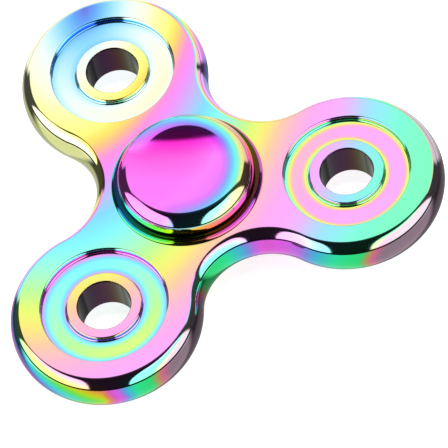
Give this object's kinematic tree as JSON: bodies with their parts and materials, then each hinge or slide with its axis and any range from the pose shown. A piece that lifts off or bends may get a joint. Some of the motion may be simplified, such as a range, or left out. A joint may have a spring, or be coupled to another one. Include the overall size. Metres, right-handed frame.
{
  "type": "fidget spinner",
  "caption": "Three-lobed hand spinner: a plated metal body with a ring channel and a bore in each lobe, turning on a ball bearing between two dished finger caps.",
  "frame": {"origin": "centre of the centre bearing, midway between the two finger caps", "axes": "+Z along the spin axis towards the upper finger cap, +X towards the middle of one lobe"},
  "size_m": [0.0648, 0.0704, 0.0144],
  "materials": {
    "body_plating": "polished",
    "cap_plating": "polished",
    "bearing_steel": "polished",
    "ball_steel": "polished",
    "cage_steel": "satin",
    "shield_steel": "satin",
    "spring_steel": "satin"
  },
  "bodies": {
    "fingers_side": {"finger_cap_top": "cap_plating", "finger_cap_bottom": "cap_plating", "bearing_inner_ring": "bearing_steel"},
    "rotor": {"spinner_body": "body_plating", "bearing_outer_ring": "bearing_steel", "bearing_shield_top": "shield_steel", "bearing_shield_bottom": "shield_steel", "shield_clip_top": "spring_steel", "shield_clip_bottom": "spring_steel"},
    "cage": {"bearing_cage": "cage_steel"},
    "ball_01": {"bearing_ball_01": "ball_steel"},
    "ball_02": {"bearing_ball_02": "ball_steel"},
    "ball_03": {"bearing_ball_03": "ball_steel"},
    "ball_04": {"bearing_ball_04": "ball_steel"},
    "ball_05": {"bearing_ball_05": "ball_steel"},
    "ball_06": {"bearing_ball_06": "ball_steel"},
    "ball_07": {"bearing_ball_07": "ball_steel"},
    "ball_08": {"bearing_ball_08": "ball_steel"},
    "ball_09": {"bearing_ball_09": "ball_steel"},
    "ball_10": {"bearing_ball_10": "ball_steel"}
  },
  "joints": [
    {"name": "rotor_spin", "type": "hinge", "parent": "fingers_side", "child": "rotor", "pos_m": [0, 0, 0], "axis": [0, 0, 1], "continuous": true},
    {"name": "cage_spin", "type": "hinge", "parent": "fingers_side", "child": "cage", "pos_m": [0, 0, 0], "axis": [0, 0, 1], "continuous": true},
    {"name": "ball_01_spin", "type": "hinge", "parent": "cage", "child": "ball_01", "pos_m": [0.00476, 0, 0], "axis": [0, 0, 1], "continuous": true},
    {"name": "ball_02_spin", "type": "hinge", "parent": "cage", "child": "ball_02", "pos_m": [0.00385, 0.0028, 0], "axis": [0, 0, 1], "continuous": true},
    {"name": "ball_03_spin", "type": "hinge", "parent": "cage", "child": "ball_03", "pos_m": [0.00147, 0.00453, 0], "axis": [0, 0, 1], "continuous": true},
    {"name": "ball_04_spin", "type": "hinge", "parent": "cage", "child": "ball_04", "pos_m": [-0.00147, 0.00453, 0], "axis": [0, 0, 1], "continuous": true},
    {"name": "ball_05_spin", "type": "hinge", "parent": "cage", "child": "ball_05", "pos_m": [-0.00385, 0.0028, 0], "axis": [0, 0, 1], "continuous": true},
    {"name": "ball_06_spin", "type": "hinge", "parent": "cage", "child": "ball_06", "pos_m": [-0.00476, 0, 0], "axis": [0, 0, 1], "continuous": true},
    {"name": "ball_07_spin", "type": "hinge", "parent": "cage", "child": "ball_07", "pos_m": [-0.00385, -0.0028, 0], "axis": [0, 0, 1], "continuous": true},
    {"name": "ball_08_spin", "type": "hinge", "parent": "cage", "child": "ball_08", "pos_m": [-0.00147, -0.00453, 0], "axis": [0, 0, 1], "continuous": true},
    {"name": "ball_09_spin", "type": "hinge", "parent": "cage", "child": "ball_09", "pos_m": [0.00147, -0.00453, 0], "axis": [0, 0, 1], "continuous": true},
    {"name": "ball_10_spin", "type": "hinge", "parent": "cage", "child": "ball_10", "pos_m": [0.00385, -0.0028, 0], "axis": [0, 0, 1], "continuous": true}
  ],
  "couplings": [
    {"joint": "cage_spin", "follows": "rotor_spin", "ratio": 0.58336},
    {"joint": "ball_01_spin", "follows": "rotor_spin", "ratio": 2.9157},
    {"joint": "ball_02_spin", "follows": "rotor_spin", "ratio": 2.9157},
    {"joint": "ball_03_spin", "follows": "rotor_spin", "ratio": 2.9157},
    {"joint": "ball_04_spin", "follows": "rotor_spin", "ratio": 2.9157},
    {"joint": "ball_05_spin", "follows": "rotor_spin", "ratio": 2.9157},
    {"joint": "ball_06_spin", "follows": "rotor_spin", "ratio": 2.9157},
    {"joint": "ball_07_spin", "follows": "rotor_spin", "ratio": 2.9157},
    {"joint": "ball_08_spin", "follows": "rotor_spin", "ratio": 2.9157},
    {"joint": "ball_09_spin", "follows": "rotor_spin", "ratio": 2.9157},
    {"joint": "ball_10_spin", "follows": "rotor_spin", "ratio": 2.9157}
  ]
}
